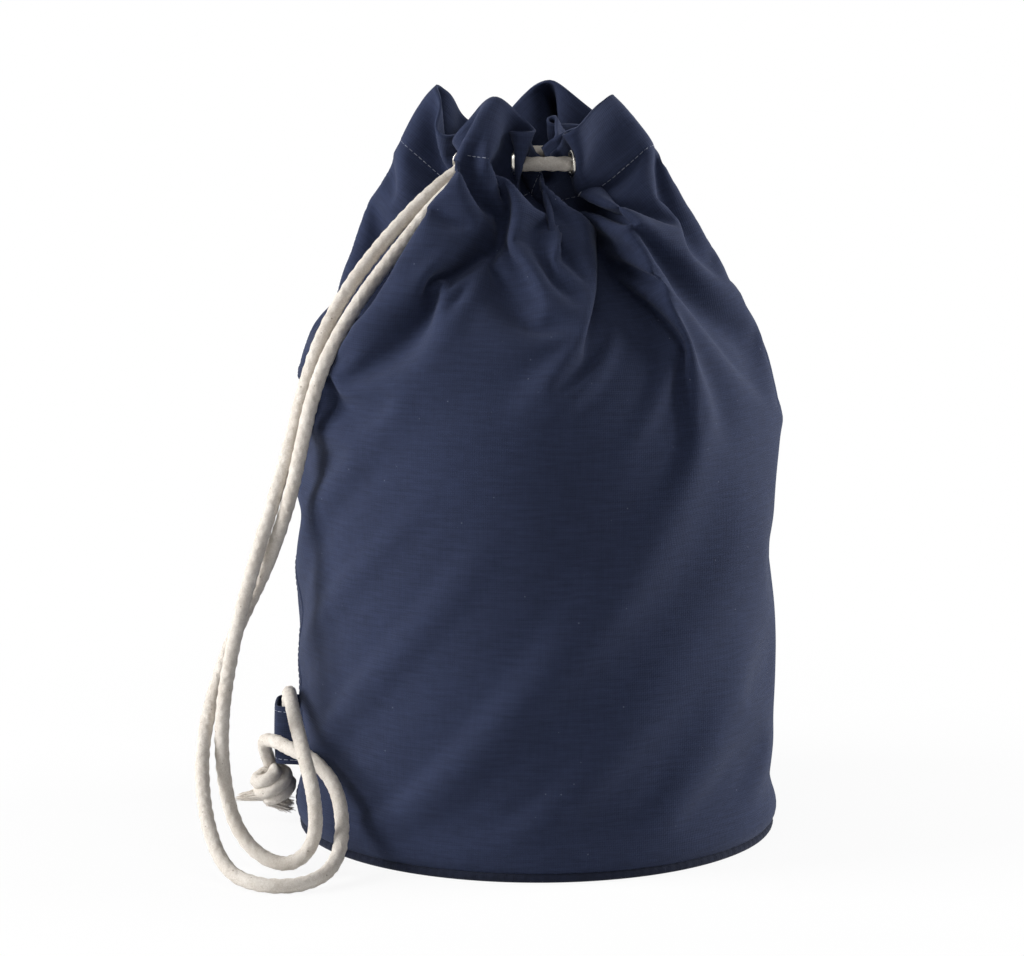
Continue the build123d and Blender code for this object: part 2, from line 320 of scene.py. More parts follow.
# The corners of the cord's route, in metres: the neck, then each strand from its eyelet
neckCorners = [
    (-0.041, 0.015, 0.391), (-0.001, 0.042, 0.391), (0.020, 0.036, 0.391),
    (0.045, -0.004, 0.391), (0.031, -0.038, 0.391), (-0.022, -0.038, 0.391),
]
strandCornersA = [
    (-0.041, -0.010, 0.387), (-0.057, -0.021, 0.377), (-0.082, -0.036, 0.353), (-0.105, -0.050, 0.325),
    (-0.121, -0.061, 0.297), (-0.131, -0.065, 0.268), (-0.138, -0.060, 0.240), (-0.148, -0.057, 0.206),
    (-0.160, -0.063, 0.168), (-0.172, -0.072, 0.124), (-0.179, -0.083, 0.080), (-0.177, -0.092, 0.046),
    (-0.170, -0.097, 0.020), (-0.155, -0.106, 0.005), (-0.136, -0.118, 0.004), (-0.123, -0.123, 0.020),
    (-0.124, -0.118, 0.044), (-0.131, -0.096, 0.062), (-0.138, -0.062, 0.074), (-0.143, -0.030, 0.082),
    (-0.145, -0.008, 0.080), (-0.146, 0.000, 0.062), (-0.147, 0.008, 0.036),
]
strandCornersB = [
    (-0.040, -0.020, 0.383), (-0.057, -0.031, 0.369), (-0.079, -0.046, 0.343), (-0.101, -0.060, 0.315),
    (-0.118, -0.071, 0.286), (-0.127, -0.074, 0.260), (-0.133, -0.067, 0.233), (-0.140, -0.060, 0.202),
    (-0.153, -0.055, 0.164), (-0.171, -0.054, 0.128), (-0.184, -0.066, 0.094), (-0.190, -0.092, 0.062),
    (-0.185, -0.119, 0.029), (-0.172, -0.143, 0.007), (-0.151, -0.160, 0.004), (-0.128, -0.158, 0.004),
    (-0.112, -0.138, 0.008), (-0.108, -0.112, 0.024), (-0.113, -0.090, 0.043), (-0.127, -0.070, 0.054),
    (-0.140, -0.046, 0.053), (-0.153, -0.027, 0.055), (-0.162, -0.009, 0.050), (-0.157, 0.000, 0.034),
]


def midPoint(a, b):
    return tuple((p + q) / 2 for p, q in zip(a, b))


def splinePoints(name, corners):
    # One smooth NURBS line with the corners as its control points, read back as points
    data = bpy.data.curves.new(name, "CURVE")
    data.dimensions = "3D"
    data.resolution_u = 24
    spline = data.splines.new("NURBS")
    spline.points.add(len(corners) - 1)
    for point, corner in zip(spline.points, corners):
        point.co = (*corner, 1)
    spline.order_u = 3
    spline.use_endpoint_u = True
    curve = bpy.data.objects.new(name, data)
    bpy.context.scene.collection.objects.link(curve)
    mesh = bpy.data.meshes.new_from_object(curve)
    points = np.array([v.co[:] for v in mesh.vertices])
    bpy.data.objects.remove(curve)
    bpy.data.curves.remove(data)
    bpy.data.meshes.remove(mesh)
    return points


# The strands leave by eyelets 1 and 8, half way along the runs that pass through those
exitA = midPoint(neckCorners[0], strandCornersA[0])
exitB = midPoint(neckCorners[-1], strandCornersB[0])
neckLine = splinePoints("neckLine", [exitA, *neckCorners, exitB])
strandLineA = splinePoints("strandLineA", [exitA, *strandCornersA])
strandLineB = splinePoints("strandLineB", [exitB, *strandCornersB])


def lineLength(points):
    return float(np.linalg.norm(np.diff(points, axis=0), axis=1).sum())


print("cord lines:", [round(lineLength(p), 3) for p in (neckLine, strandLineA, strandLineB)])


def evenPoints(points, spacing):
    # The same line with its points equally far apart
    steps = np.linalg.norm(np.diff(points, axis=0), axis=1)
    distance = np.concatenate([[0], np.cumsum(steps)])
    wanted = np.linspace(0, distance[-1], max(2, ceil(distance[-1] / spacing)))
    return np.stack([np.interp(wanted, distance, points[:, k]) for k in range(3)], -1), wanted


def turningFrames(points):
    # Two directions across the line at each point, carried along without twisting
    tangents = np.gradient(points, axis=0)
    tangents /= np.linalg.norm(tangents, axis=1)[:, None]
    side = np.cross(tangents[0], (0, 0, 1) if abs(tangents[0][2]) < 0.9 else (1, 0, 0))
    sides = []
    for tangent in tangents:
        side = side - tangent * (side @ tangent)
        side = side / np.linalg.norm(side)
        sides.append(side)
    sides = np.array(sides)
    return tangents, sides, np.cross(tangents, sides)


def braidHeight(turn, distance):
    # Four yarns wind each way and pass over and under each other; 0 is a groove, 1 a crown
    left = (turn / tau - distance / cordSet["braidPitch"]) * cordSet["yarnsEachWay"]
    right = (turn / tau + distance / cordSet["braidPitch"]) * cordSet["yarnsEachWay"]
    a = np.sin(pi * left)
    b = np.sin(pi * right)
    over = cordSet["crossing"] * a * b
    return np.maximum(np.abs(a) + over, np.abs(b) - over) / (1 + cordSet["crossing"])


def noiseAt(places):
    # Smooth unevenness from -1 to 1 at each place
    flat = [noise.noise(Vector(place)) for place in places.reshape(-1, 3)]
    return np.array(flat).reshape(places.shape[:-1])


def ropeTube(name, line, material, diameter=cordSet["diameter"]):
    points, distance = evenPoints(line, cordSet["ringSpacing"])
    tangents, sides, ups = turningFrames(points)
    turn = np.arange(cordSet["sectors"]) * tau / cordSet["sectors"]
    radii = diameter / 2 + cordSet["relief"] * (braidHeight(turn[None], distance[:, None])
                                                - cordSet["grooveShare"])
    # Soft cotton is never even: each place stands out or sinks a little
    ring = np.cos(turn)[None, :, None] * sides[:, None] + np.sin(turn)[None, :, None] * ups[:, None]
    outer = points[:, None] + ring * (diameter / 2)
    for size, depth in cordSet["unevenness"]:
        radii = radii + depth * noiseAt(outer / size)
    vertices = points[:, None] + ring * radii[..., None]
    faces = tubeFaces(len(points), cordSet["sectors"])
    return newObject(name, vertices.reshape(-1, 3), faces, material), points


def makeRopes(material):
    neck, neckPath = ropeTube("ropeNeck", neckLine, material)
    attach(neck, "bag")
    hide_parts("cord_neck")
    for letter, line, start, pieces in (("a", strandLineA, exitA, knotPieces), ("b", strandLineB, exitB, [])):
        rope, path = ropeTube("rope" + letter.upper(), line, material)
        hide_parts(f"cord_upper_{letter}", f"cord_lower_{letter}")
        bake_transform(rope)
    print("ropes made")


knotSet = {
    "centre": (-0.155, -0.004, 0.0235),
    "turns": 2.6,
    "firstTurn": 2.4,
    "reach": 8.6 * mm,  # from the knot's middle to the middle of its outermost wrap
    "closing": 0.85,  # how far its first and last wraps close in
    "rise": 6.0 * mm,  # from one wrap to the next
    "ropeDiameter": 8.4 * mm,
    "leanForward": 14,
    "leanLeft": -22,
}


def makeKnot(material):
    # Both ends tied together: wraps drawn tight round each other into a ball, leaning a little
    share = np.linspace(0, 1, 160)
    turn = share * tau * knotSet["turns"] + knotSet["firstTurn"]
    height = (share - 0.5) * knotSet["rise"] * knotSet["turns"]
    reach = knotSet["reach"] * np.sqrt(np.clip(1 - (2 * share - 1) ** 4 * knotSet["closing"], 0, 1))
    lean = Matrix.Rotation(radians(knotSet["leanLeft"]), 3, "Y")
    lean = lean @ Matrix.Rotation(radians(knotSet["leanForward"]), 3, "X")
    upright = np.stack([reach * np.cos(turn), reach * np.sin(turn), height], -1)
    leaning = np.array([lean @ Vector(p) + Vector(knotSet["centre"]) for p in upright])
    knot, _ = ropeTube("knot", leaning, material, knotSet["ropeDiameter"])
    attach(knot, "strap")
    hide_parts("cord_knot")
    return knot


fraySet = {
    "fibres": 110,
    "thickness": 0.6 * mm,
    "curl": 0.35 * mm,
    "shortest": 0.72,
    "taper": 0.75,
    "sides": 5,
    "rings": 7,
}
tailSet = {
    # Where each leaves the knot, its tip, how wide it is there, how far it droops, its fibres' seed
    "tailA": {"root": (-0.159, -0.006, 0.0175), "tip": (-0.1770, -0.003, 0.0145), "widths": (4.4, 0.7),
              "droop": 0.8 * mm, "seed": 3, "node": "cord_tail_a"},
    "tailB": {"root": (-0.159, -0.008, 0.0135), "tip": (-0.1430, -0.006, 0.0125), "widths": (2.8, 4.0),
              "droop": 2.0 * mm, "seed": 8, "node": "cord_tail_b"},
}


def frayedEnd(name, values, material):
    # A bundle of loose yarns from the knot, each with its own bend
    random = np.random.default_rng(values["seed"])
    root = np.array(values["root"])
    along = np.array(values["tip"]) - root
    rootRadius, tipRadius = [width * mm for width in values["widths"]]
    across = np.cross(along, (0, 0, 1))
    across /= np.linalg.norm(across)
    upward = np.cross(across, along)
    upward /= np.linalg.norm(upward)
    sides = fraySet["sides"]
    rings = fraySet["rings"]
    vertices = []
    faces = []
    for fibre in range(fraySet["fibres"]):
        angle = random.uniform(0, tau)
        share = sqrt(random.uniform(0, 1))
        reach = random.uniform(fraySet["shortest"], 1.0)
        curl = random.normal(0, fraySet["curl"], (rings, 3)).cumsum(0)
        faces += tubeFaces(rings, sides, len(vertices))
        for ring in range(rings):
            t = ring / (rings - 1)
            spread = (rootRadius + (tipRadius - rootRadius) * t) * share
            middle = root + along * t * reach + (across * cos(angle) + upward * sin(angle)) * spread
            middle = middle + curl[ring] * t + np.array([0, 0, -values["droop"] * t * t])
            radius = fraySet["thickness"] * (1 - fraySet["taper"] * t ** 2)
            for side in range(sides):
                around = tau * side / sides
                vertices.append(middle + (across * cos(around) + upward * sin(around)) * radius)
    piece = newObject(name, vertices, faces, material)
    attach(piece, "strap")
    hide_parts(values["node"])
    return piece


knotPieces = [makeKnot(ropeCotton)]
for tail, values in tailSet.items():
    knotPieces.append(frayedEnd(tail, values, frayCotton))
makeRopes(ropeCotton)


bagSet = {
    "girth": 0.863,
    "height": 0.458,  # from the base seam to the top edge, along the cloth
    "radius": 0.1373,
    "seamHeight": 0.004,
    "baseRadius": 0.1362,
    "shoulder": 0.250,
    "eyeletDrop": 0.019,  # from the top edge down to the eyelets
    "eyeletHold": 9.5 * mm,  # the round of cloth that each eyelet grips
    "eyeletHole": 5.6 * mm,
    "clothFromWasher": 2.05 * mm,
    "hemDepth": 0.038,
    "clothThickness": 1.0 * mm,
    "hemThickness": 1.6 * mm,
}
# How the cloth settles
drapeSet = {
    # columns, rows, steps, how stiff the cloth is, how firmly its guides pull
    "coarse": (96, 51, 260, 0.015, 0.5),
    "middle": (192, 101, 150, 0.02, 0.3),
    "fine": (384, 201, 36, 0.03, 0.1),
    "sweeps": 4,
    "shearHold": 0.7,
    "hemStiffness": 6,  # times the rest of the cloth
    "hemStiffest": 0.2,
    "liveliness": 0.9,
    "sag": 0.002 * mm,
    "fillRadius": 0.1348,  # what the bag is filled with
    "fillShoulder": 0.228,
    "fillTop": 0.340,
    "fillRound": 2.2,
    "fillPush": 0.06,
    "neckRadius": 0.137,
    "neckSlack": 2.5 * mm,  # how far the cloth may stand out past its ridges
    "neckPush": 0.5,
    "foldsFrom": 0.300,
    "foldStart": 0.030,
    "foldEase": 2.5,
    "wallGap": 0.3 * mm,  # from the planes beside each fold, and from the one in its middle
    "middleGap": 0.9 * mm,
    "ropesFrom": 0.19,
    "ropeReach": 8 * mm,
    "ropeGap": 0.5 * mm,
    "ropeSide": 1.2,  # how strongly the cloth is sent to its own side of the cord
}
# The cord runs inside four ridges of the neck. Each ridge: the upright plane between its folds,
# the cloth's own angle at the shoulder and at the edge, and its line in the air, in steps of
# radius and height in mm and angle in degrees.
ridgeSet = {
    "right": {"wall": 339, "angles": (354, 337.5),
              "line": [(137, 250, -6), (133, 274, -6), (127, 295, -7), (120, 309, -9), (103, 337, -12),
                       (88, 365, -16), (72, 392, -20), (49, 431, -24)]},
    "back": {"wall": 80, "angles": (84, 67.5),
             "line": [(137, 250, 84), (132, 276, 84), (122, 306, 83), (107, 334, 83), (90, 362, 82),
                      (72, 392, 81), (47, 438, 83)]},
    "left": {"wall": 163, "angles": (158, 157.5),
             "line": [(136, 250, 158), (133, 275, 159), (128, 289, 159), (117, 314, 159), (110, 332, 159),
                      (100, 362, 160), (89, 387, 160), (64, 433, 164)]},
    "front": {"wall": 239, "angles": (206, 247.5),
              "line": [(137, 250, 206), (135.5, 280, 211), (134, 297, 217), (117, 328, 225),
                       (105, 352, 227.5), (86, 382, 231.5), (71, 403, 235), (50, 431, 243)]},
}
# The pleats of the front fold, in steps: the height up the cloth in mm and its angle round it, then
# the radius, height and angle in the air
foldSet = {
    "frontTongue": [(318, 268, 112, 312, 273), (358, 275, 82, 341, 277.5), (395, 286, 55, 368, 286)],
    "tongueEdge": [(302, 277, 125, 300, 283.4), (358, 283, 82, 341, 290), (394, 289, 59, 369, 298)],
    "leftEdge": [(342, 235, 117, 339, 236.4), (356, 239, 98, 347, 240.5), (387, 251, 64, 364, 250.7),
                 (405, 259, 54, 377, 254.9)],
    "leftFlap": [(399, 246, 77, 377, 240.4), (424, 252, 65, 396, 244.6)],
    "tongueLeft": [(326, 243, 114, 322, 244), (356, 256, 91, 340, 254), (378, 269, 66, 358, 265.7)],
    "leftValley": [(333, 239, 113, 329, 238), (349, 245, 74, 336, 238), (373, 256, 42, 352, 244)],
    "rightValley": [(293, 305, 132, 292, 311), (319, 301, 98, 314, 308), (358, 297, 42, 342, 312),
                    (386, 296, 46, 356, 315)],
    "rightEdge": [(295, 309, 136, 295, 309.9), (329, 311, 123, 327, 307.8), (363, 313, 95, 354, 307),
                  (400, 315, 74, 372, 304)],
}
# Round the neck: an eyelet at every 45 degrees of the cloth, a ridge or a fold between
eyeletOrder = [5, 4, 3, 2, 1, 8, 7, 6]
ridgeOrder = ["back", "left", "front", "right"]
neckCentre = (0.002, 0.000)
neckAlong = bagSet["height"] - bagSet["eyeletDrop"]  # where the eyelets are, along the cloth


def eyeletPlane(number):
    # Where the cloth meets an eyelet, and the way out of the bag, from its washer and flange
    washer = np.array([v.co for v in nodes[f"eyelet_washer_{number}"].data.vertices])
    flange = np.array([v.co for v in nodes[f"eyelet_{number}"].data.vertices])
    washer = np.unique(np.round(washer, 7), axis=0)
    middle = (washer.max(0) + washer.min(0)) / 2
    normal = np.linalg.svd(washer - washer.mean(0), full_matrices=False)[2][2]
    if (flange.mean(0) - middle) @ normal < 0:
        normal = -normal
    return middle + normal * bagSet["clothFromWasher"], normal


eyeletPlanes = {number: eyeletPlane(number) for number in eyeletOrder}


class ClothGrid:
    # A cylinder of cloth, rows upwards and columns around, held by its own threads

    def __init__(self, columns, rows):
        self.columns = columns
        self.rows = rows
        self.stepAround = bagSet["girth"] / columns
        self.stepUp = bagSet["height"] / (rows - 1)
        self.angles = np.arange(columns) * 360 / columns
        self.along = np.arange(rows) * self.stepUp
        self.links = []
        index = np.arange(rows * columns).reshape(rows, columns)
        right = np.roll(index, -1, 1)
        diagonal = sqrt(self.stepAround ** 2 + self.stepUp ** 2)
        for parity in (0, 1):
            self.link(index[:, parity::2], right[:, parity::2], self.stepAround, 1.0)
            self.link(index[parity:-1:2], index[parity + 1::2], self.stepUp, 1.0)
            self.link(index[:-1, parity::2], right[1:, parity::2], diagonal, drapeSet["shearHold"])
            self.link(right[:-1, parity::2], index[1:, parity::2], diagonal, drapeSet["shearHold"])

    def link(self, first, second, rest, strength):
        count = min(first.size, second.size)
        self.links.append((first.ravel()[:count], second.ravel()[:count], rest, strength))


def roundPlace(radius, height, angle):
    # From a radius and height in mm and an angle in degrees
    return radius * mm * cos(radians(angle)), radius * mm * sin(radians(angle)), height * mm


def arcPlace(line):
    # A ridge's line as points with the distance along the cloth, from the shoulder up
    points = np.array([roundPlace(*corner) for corner in line])
    steps = np.linalg.norm(np.diff(points, axis=0), axis=1)
    climb = np.concatenate([[0], np.cumsum(steps)]) / steps.sum()
    return points, bagSet["shoulder"] + climb * (bagSet["height"] - bagSet["shoulder"])


startSet = {
    # The sheet before it settles: a cylinder drawn in to a star at the eyelets
    "ridgeReach": 0.055,  # the cloth from an eyelet to the ridge's crest
    "foldShare": 0.2,  # how near the middle each fold starts
    "ease": 1.3,
    "tipLean": 0.12,
    "eyeletHeight": 0.387,
    "ridgeRise": 0.020,
}


def starCorners():
    # The neck's outline through its eyelets, with a corner at each ridge and fold between
    corners = []
    for place, number in enumerate(eyeletOrder):
        here = eyeletPlanes[number][0][:2]
        following = eyeletPlanes[eyeletOrder[(place + 1) % 8]][0][:2]
        corners.append((place * 45, *here, 0))
        middle = (here + following) / 2
        half = np.linalg.norm(following - here) / 2
        if place % 2:
            facing = radians(ridgeSet[ridgeOrder[place // 2]]["wall"])
            reach = sqrt(max(startSet["ridgeReach"] ** 2 - half ** 2, 0))
            apex = middle + reach * np.array([cos(facing), sin(facing)])
        else:
            apex = middle * startSet["foldShare"]
        corners.append((place * 45 + 22.5, *apex, place % 2))
    return np.array(corners)


def startShape(grid):
    corners = starCorners()
    around = corners[:, 0]
    star = np.stack([np.interp(grid.angles, around, corners[:, k], period=360) for k in (1, 2)], -1)
    ridge = np.interp(grid.angles, around, corners[:, 3], period=360)
    turn = np.radians(grid.angles)
    circle = bagSet["baseRadius"] * np.stack([np.cos(turn), np.sin(turn)], -1)
    shoulder = bagSet["shoulder"]
    climb = startSet["eyeletHeight"] - shoulder + startSet["ridgeRise"] * ridge
    shape = np.zeros((grid.rows, grid.columns, 3))
    for row, along in enumerate(grid.along):
        share = np.clip((along - shoulder) / (neckAlong - shoulder), 0, 1)
        eased = share ** startSet["ease"]
        edge = max(0, along - neckAlong)
        lean = 1 - ridge * edge / bagSet["eyeletDrop"] * startSet["tipLean"]
        shape[row, :, :2] = (circle * (1 - eased) + star * eased) * lean[:, None]
        shape[row, :, 2] = bagSet["seamHeight"] + min(along, shoulder) + share * climb + edge
    return shape


def pinnedPoints(grid):
    # The base seam, and a flat round of cloth in each eyelet
    turn = np.radians(grid.angles)
    where = list(range(grid.columns))
    places = [(bagSet["baseRadius"] * cos(angle), bagSet["baseRadius"] * sin(angle), bagSet["seamHeight"])
              for angle in turn]
    for place, number in enumerate(eyeletOrder):
        centre, outward = eyeletPlanes[number]
        upward = np.array([0, 0, 1]) - outward * outward[2]
        upward /= np.linalg.norm(upward)
        sideways = np.cross(upward, outward)
        away = (grid.angles - place * 45 + 180) % 360 - 180
        away = away * bagSet["girth"] / 360
        for row, along in enumerate(grid.along):
            rise = along - neckAlong
            for column in np.nonzero(np.hypot(away, rise) < bagSet["eyeletHold"])[0]:
                where.append(row * grid.columns + column)
                places.append(centre - outward * bagSet["clothThickness"] * 0.8
                              + sideways * away[column] + upward * rise)
    return np.array(where), np.array(places)


def ridgeGuides(grid):
    # Which points of the cloth the ridges and pleats draw in, and where to
    where = []
    places = []
    shoulder = bagSet["shoulder"]
    for ridge in ridgeSet.values():
        points, distances = arcPlace(ridge["line"])
        low, high = ridge["angles"]
        for row, along in enumerate(grid.along):
            if along < shoulder + 0.01:
                continue
            share = (along - shoulder) / (bagSet["height"] - shoulder)
            column = round((low + share * (high - low)) / 360 * grid.columns) % grid.columns
            where.append(row * grid.columns + column)
            places.append([np.interp(along, distances, points[:, k]) for k in range(3)])
    for line in foldSet.values():
        line = np.array(line, float)
        for row, along in enumerate(grid.along):
            if line[0, 0] <= along / mm <= line[-1, 0]:
                cloth, *place = [np.interp(along / mm, line[:, 0], line[:, k]) for k in (1, 2, 3, 4)]
                column = round(cloth / 360 * grid.columns) % grid.columns
                where.append(row * grid.columns + column)
                places.append(roundPlace(*place))
    return np.array(where), np.array(places)


def neckRadius(sheet):
    # How far out the cloth can stand at each place, from the ridges on both sides of it
    height = sheet[..., 2]
    angle = np.degrees(np.arctan2(sheet[..., 1], sheet[..., 0])) % 360
    radii = []
    turns = []
    for ridge in ridgeSet.values():
        line = np.array(ridge["line"])
        radii.append(np.interp(height, line[:, 1] * mm, line[:, 0] * mm))
        turns.append(np.interp(height, line[:, 1] * mm, line[:, 2]))
    radii.append(radii[0])
    turns.append(turns[0] + 360)
    radius = np.full(height.shape, drapeSet["neckRadius"])
    for k in range(4):
        span = np.radians(turns[k + 1] - turns[k])
        past = np.radians((angle - turns[k]) % 360)
        share = past / span
        radius = np.where(past <= span, radii[k] * (1 - share) + radii[k + 1] * share, radius)
    return radius + drapeSet["neckSlack"]


def wallRules(grid):
    # Upright planes through the neck that keep each fold, and each side of it, in its place
    rules = []
    columns = np.arange(grid.columns)
    for place in range(0, 8, 2):
        before = ridgeSet[ridgeOrder[(place // 2 - 1) % 4]]["wall"]
        after = ridgeSet[ridgeOrder[place // 2]]["wall"]
        here = eyeletPlanes[eyeletOrder[place]][0][:2]
        following = eyeletPlanes[eyeletOrder[place + 1]][0][:2]
        outside = (here + following) / 2 - neckCentre
        middle = np.degrees(atan2(outside[1], outside[0]))
        fromFold = (grid.angles - place * 45 - 22.5 + 180) % 360 - 180
        first = columns[(fromFold > -45) & (fromFold < -1.5)]
        second = columns[(fromFold < 45) & (fromFold > 1.5)]
        both = np.concatenate([first, second])
        rules += [(both, before, 1, drapeSet["wallGap"]), (both, after, -1, drapeSet["wallGap"]),
                  (first, middle, -1, drapeSet["middleGap"]), (second, middle, 1, drapeSet["middleGap"])]
    return rules


def ropesAtNeck():
    # The cord's points beside the neck, which of them run round inside it, and the way out there
    points = np.concatenate([strandLineA[:-1:4], strandLineB[:-1:4], neckLine[::4]]).astype(np.float32)
    isNeck = np.arange(len(points)) >= len(points) - len(neckLine[::4])
    high = points[:, 2] > drapeSet["ropesFrom"]
    points = points[high]
    isNeck = isNeck[high]
    outward = points * np.where(isNeck[:, None], (1, 1, 0), (1, 1, 0.35))
    outward /= np.linalg.norm(outward, axis=1)[:, None]
    return points, isNeck, outward


def holdTogether(x, sheet, links, stiffness):
    # Every thread back to its length, then the cloth's own stiffness
    for first, second, rest, firstShare, secondShare in links:
        span = x[second] - x[first]
        length = np.sqrt((span * span).sum(1))[:, None]
        span *= (length - rest) / np.maximum(length, 1e-9)
        x[first] += span * firstShare
        x[second] -= span * secondShare
    change = ((np.roll(sheet, 1, 1) + np.roll(sheet, -1, 1)) / 2 - sheet) * stiffness
    sheet += change
    sheet -= (np.roll(change, 1, 1) + np.roll(change, -1, 1)) / 2
    change = ((sheet[:-2] + sheet[2:]) / 2 - sheet[1:-1]) * stiffness[1:-1]
    sheet[1:-1] += change
    sheet[:-2] -= change / 2
    sheet[2:] -= change / 2


def pushFill(sheet):
    # What fills the bag pushes its wall out, up to a rounded top
    span = np.clip((sheet[..., 2] - drapeSet["fillShoulder"])
                   / (drapeSet["fillTop"] - drapeSet["fillShoulder"]), 0, 1)
    fill = drapeSet["fillRadius"] * np.sqrt(1 - span ** drapeSet["fillRound"])
    radius = np.hypot(sheet[..., 0], sheet[..., 1])
    short = np.maximum(fill - radius, 0) * drapeSet["fillPush"]
    sheet[..., :2] *= (1 + short / np.maximum(radius, 1 * mm))[..., None]


def holdIn(neck):
    # Nothing stands out past the ridges
    radius = np.hypot(neck[..., 0], neck[..., 1])
    over = np.maximum(radius - neckRadius(neck), 0) * drapeSet["neckPush"]
    neck[..., :2] *= (1 - over / np.maximum(radius, 1 * mm))[..., None]


def keepFolds(sheet, upper, slack, rules):
    # Folds stay on their own side
    block = sheet[upper]
    for columns, angle, side, gap in rules:
        across = np.array([-sin(radians(angle)), cos(radians(angle))]) * side
        reach = (block[:, columns, :2] - neckCentre) @ across
        short = np.maximum(gap - slack - reach, 0)
        block[:, columns, :2] += short[..., None] * across
    sheet[upper] = block


def layOnRopes(x, ropes, movable, inRidge):
    # The strands lie on the cloth, and the neck's run passes inside the ridges
    points, isNeck, outward = ropes
    low = points.min(0) - drapeSet["ropeReach"]
    high = points.max(0) + drapeSet["ropeReach"]
    clear = cordSet["diameter"] / 2 + bagSet["clothThickness"] / 2 + drapeSet["ropeGap"]
    near = np.nonzero(movable & (x > low).all(1) & (x < high).all(1))[0]
    away = x[near][:, None] - points[None]
    distance = np.sqrt((away ** 2).sum(2))
    closest = distance.argmin(1)
    gap = distance[np.arange(len(near)), closest]
    touching = gap < clear
    if touching.any():
        chosen = near[touching]
        rope = closest[touching]
        side = np.where(inRidge[chosen] & isNeck[rope], drapeSet["ropeSide"], -drapeSet["ropeSide"])[:, None]
        push = away[touching, rope] / np.maximum(gap[touching], 1e-6)[:, None] + side * outward[rope]
        push /= np.linalg.norm(push, axis=1)[:, None]
        x[chosen] = points[rope] + push * clear


def settle(grid, shape, steps, bend, guide):
    x = shape.reshape(-1, 3).astype(np.float32)
    sheet = x.reshape(grid.rows, grid.columns, 3)  # the same points, in rows
    held, heldPlaces = pinnedPoints(grid)
    guided, guidePlaces = ridgeGuides(grid)
    weight = np.ones(len(x), np.float32)
    weight[held] = 0
    links = []
    for first, second, rest, strength in grid.links:
        total = weight[first] + weight[second]
        total[total == 0] = 1
        links.append((first, second, rest, (weight[first] * strength / total)[:, None],
                      (weight[second] * strength / total)[:, None]))
    rules = wallRules(grid)
    upper = np.nonzero(grid.along > drapeSet["foldsFrom"])[0]
    below = np.maximum(neckAlong - drapeSet["foldStart"] - grid.along[upper], 0)[:, None]
    slack = below * drapeSet["foldEase"]
    ropes = ropesAtNeck()
    inRidge = np.tile(grid.angles % 90 > 45, grid.rows)
    rowOf = np.repeat(np.arange(grid.rows), grid.columns)
    movable = (grid.along[rowOf] > drapeSet["ropesFrom"]) & (weight > 0)
    shoulderRow = int(np.searchsorted(grid.along, bagSet["shoulder"]))
    hemmed = (grid.along > bagSet["height"] - bagSet["hemDepth"])[:, None, None]
    stiffness = np.where(hemmed, min(bend * drapeSet["hemStiffness"], drapeSet["hemStiffest"]), bend)
    x[held] = heldPlaces
    old = x.copy()
    for step in range(steps):
        speed = (x - old) * drapeSet["liveliness"]
        old = x.copy()
        x += speed
        x[:, 2] -= drapeSet["sag"]
        x[held] = heldPlaces
        x[guided] += (guidePlaces - x[guided]) * guide
        for sweep in range(drapeSet["sweeps"]):
            holdTogether(x, sheet, links, stiffness)
            x[held] = heldPlaces
        pushFill(sheet)
        holdIn(sheet[shoulderRow:])
        keepFolds(sheet, upper, slack, rules)
        layOnRopes(x, ropes, movable, inRidge)
        x[held] = heldPlaces
    return sheet


def finer(shape):
    # Twice the columns, and a row between every two
    around = np.empty((shape.shape[0], shape.shape[1] * 2, 3))
    around[:, ::2] = shape
    around[:, 1::2] = (shape + np.roll(shape, -1, 1)) / 2
    both = np.empty((shape.shape[0] * 2 - 1, around.shape[1], 3))
    both[::2] = around
    both[1::2] = (around[:-1] + around[1:]) / 2
    return both


def drapeBag():
    shape = None
    for level in ("coarse", "middle", "fine"):
        if level == "fine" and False:
            break
        columns, rows, steps, bend, guide = drapeSet[level]
        grid = ClothGrid(columns, rows)
        start = startShape(grid) if shape is None else finer(shape)
        shape = settle(grid, start, steps, bend, guide)
        print("cloth settled:", level)
    return grid, shape


def bagMesh(grid, shape, material):
    rows, columns = grid.rows, grid.columns
    faces = np.array(tubeFaces(rows, columns)[:-2])  # without the caps
    centreAround = np.tile(grid.angles + 180 / columns, rows - 1)
    centreUp = np.repeat((grid.along[:-1] + grid.along[1:]) / 2, columns)
    keep = np.ones(len(faces), bool)
    for place in range(8):
        away = (centreAround - place * 45 + 180) % 360 - 180
        keep &= np.hypot(away * bagSet["girth"] / 360, centreUp - neckAlong) > bagSet["eyeletHole"]
    piece = newObject("bagCloth", shape.reshape(-1, 3), faces[keep], material)
    flat = piece.data.uv_layers.new(name="cloth")
    aroundOf = np.tile(np.arange(columns), rows) * grid.stepAround
    alongOf = np.repeat(grid.along, columns)
    corners = np.array([loop.vertex_index for loop in piece.data.loops])
    u = aroundOf[corners].reshape(-1, 4)
    u = np.where(u.max(1)[:, None] - u > bagSet["girth"] / 2, u + bagSet["girth"], u)
    flat.data.foreach_set("uv", np.stack([u.ravel(), alongOf[corners]], -1).ravel())
    hem = piece.vertex_groups.new(name="hem")
    hemmed = np.nonzero(alongOf > bagSet["height"] - bagSet["hemDepth"])[0]
    hem.add(hemmed.tolist(), 1, "REPLACE")
    thick = piece.modifiers.new("thickness", "SOLIDIFY")
    thick.thickness = bagSet["hemThickness"]
    thick.offset = 0
    thick.vertex_group = "hem"
    thick.thickness_vertex_group = bagSet["clothThickness"] / bagSet["hemThickness"]
    applyModifiers(piece)
    piece.data.shade_smooth()
    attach(piece, "bag")
    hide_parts("body_panel")
    return piece


